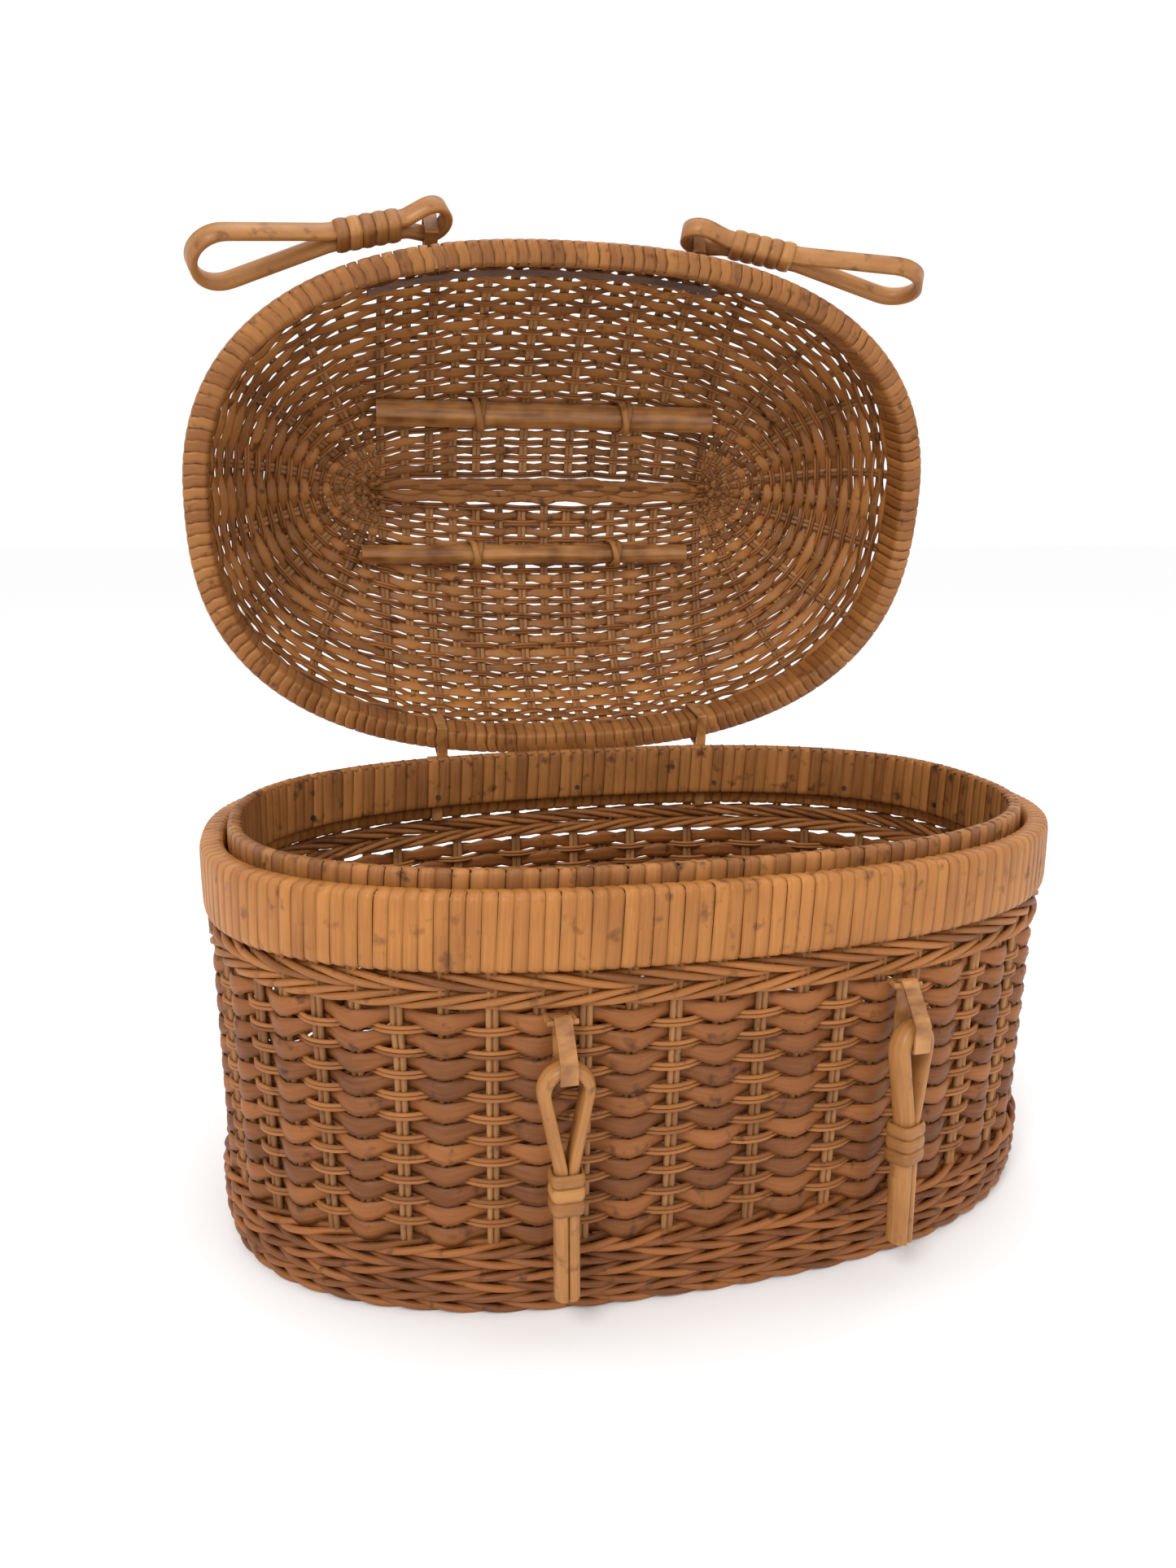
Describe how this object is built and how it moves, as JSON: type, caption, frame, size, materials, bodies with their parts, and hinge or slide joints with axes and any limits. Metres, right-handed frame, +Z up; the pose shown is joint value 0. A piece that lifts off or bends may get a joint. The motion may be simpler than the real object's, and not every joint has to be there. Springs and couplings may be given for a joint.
{
  "type": "hinged wicker basket",
  "caption": "Oval woven cane basket with a domed hinged lid, wrapped rims, loop and peg fasteners and folding carrying handles.",
  "frame": {"origin": "centre of the base, on the surface the basket stands on", "axes": "+Z up, -Y to the front where the pegs hang, +X to the right seen from the front"},
  "size_m": [0.358, 0.3236, 0.4123],
  "materials": {
    "rim_cane": "satin cane strip",
    "lid_rim_cane": "satin cane strip",
    "body_cane": "reddish brown cane",
    "lid_cane": "brown cane",
    "stake_cane": "dull cane",
    "hoop_wood": "dull wood",
    "base_cane": "dull cane",
    "bamboo": "varnished bamboo",
    "dark_splint": "dark bamboo",
    "handle_cane": "satin cane",
    "fastener_cane": "glossy split cane",
    "tie_cane": "satin cane strip",
    "nail_steel": "rust-stained wire nail"
  },
  "bodies": {
    "basket": {"base_panel": "base_cane", "foot_wale": "body_cane", "body_weave": "body_cane", "body_stakes": "stake_cane", "upper_wale": "body_cane", "band_hoop_outer": "hoop_wood", "band_hoop_inner": "hoop_wood", "band_wrap": "rim_cane", "lip_hoop": "hoop_wood", "lip_wrap": "rim_cane", "lip_nails": "nail_steel", "peg_staple_left": "tie_cane", "peg_staple_right": "tie_cane", "hinge_loop_body_left": "tie_cane", "hinge_loop_body_right": "tie_cane"},
    "lid": {"lid_rim_hoop": "hoop_wood", "lid_rim_wrap": "lid_rim_cane", "lid_weave": "lid_cane", "lid_stakes": "stake_cane", "lid_splint": "dark_splint", "panel_bar_front": "bamboo", "panel_bar_rear": "bamboo", "handle_tie_front_left": "tie_cane", "handle_tie_front_right": "tie_cane", "handle_tie_rear_left": "tie_cane", "handle_tie_rear_right": "tie_cane", "hasp_staple_left": "tie_cane", "hasp_staple_right": "tie_cane", "hinge_loop_lid_left": "tie_cane", "hinge_loop_lid_right": "tie_cane"},
    "hasp_tie_left": {"hasp_tie_left": "tie_cane"},
    "hasp_left": {"hasp_left": "fastener_cane", "hasp_binding_left": "tie_cane"},
    "peg_tie_left": {"peg_tie_left": "tie_cane"},
    "peg_left": {"peg_left": "fastener_cane", "peg_binding_left": "tie_cane"},
    "hasp_tie_right": {"hasp_tie_right": "tie_cane"},
    "hasp_right": {"hasp_right": "fastener_cane", "hasp_binding_right": "tie_cane"},
    "peg_tie_right": {"peg_tie_right": "tie_cane"},
    "peg_right": {"peg_right": "fastener_cane", "peg_binding_right": "tie_cane"},
    "carry_handle_front": {"carry_handle_front": "handle_cane", "handle_binding_front": "tie_cane"},
    "carry_handle_rear": {"carry_handle_rear": "handle_cane", "handle_binding_rear": "tie_cane"}
  },
  "joints": [
    {"name": "lid_hinge", "type": "hinge", "parent": "basket", "child": "lid", "pos_m": [0, 0.117, 0.1586], "axis": [-1, 0, 0], "range_deg": [-79, 0]},
    {"name": "hasp_tie_left_tilt", "type": "hinge", "parent": "lid", "child": "hasp_tie_left", "pos_m": [-0.067, 0.10006, 0.39302], "axis": [-1, 0, 0], "range_deg": [-10, 0]},
    {"name": "hasp_left_swing", "type": "hinge", "parent": "hasp_tie_left", "child": "hasp_left", "pos_m": [-0.067, 0.09302, 0.40332], "axis": [0.309, -0.5318, -0.7885], "range_deg": [-77, 0]},
    {"name": "hasp_tie_right_tilt", "type": "hinge", "parent": "lid", "child": "hasp_tie_right", "pos_m": [0.057, 0.09976, 0.39455], "axis": [-1, 0, 0], "range_deg": [-5, 0]},
    {"name": "hasp_right_swing", "type": "hinge", "parent": "hasp_tie_right", "child": "hasp_right", "pos_m": [0.057, 0.09176, 0.40274], "axis": [0.2419, 0.2511, 0.9372], "range_deg": [-77, 0]},
    {"name": "peg_tie_left_lift", "type": "hinge", "parent": "basket", "child": "peg_tie_left", "pos_m": [-0.055, -0.11414, 0.115], "axis": [-1, 0, 0], "range_deg": [0, 85]},
    {"name": "peg_left_swing", "type": "hinge", "parent": "peg_tie_left", "child": "peg_left", "pos_m": [-0.055, -0.11904, 0.09425], "axis": [0, 1, 0], "range_deg": [-40, 40]},
    {"name": "peg_tie_right_lift", "type": "hinge", "parent": "basket", "child": "peg_tie_right", "pos_m": [0.0684, -0.112, 0.115], "axis": [-1, 0, 0], "range_deg": [0, 85]},
    {"name": "peg_right_swing", "type": "hinge", "parent": "peg_tie_right", "child": "peg_right", "pos_m": [0.0684, -0.1169, 0.09425], "axis": [-0.4384, 0.8988, 0], "range_deg": [-40, 40]},
    {"name": "carry_handle_front_fold", "type": "hinge", "parent": "lid", "child": "carry_handle_front", "pos_m": [0, 0.18021, 0.33286], "axis": [1, 0, 0], "range_deg": [0, 165]},
    {"name": "carry_handle_rear_fold", "type": "hinge", "parent": "lid", "child": "carry_handle_rear", "pos_m": [0, 0.19395, 0.26219], "axis": [1, 0, 0], "range_deg": [-8, 141]}
  ]
}
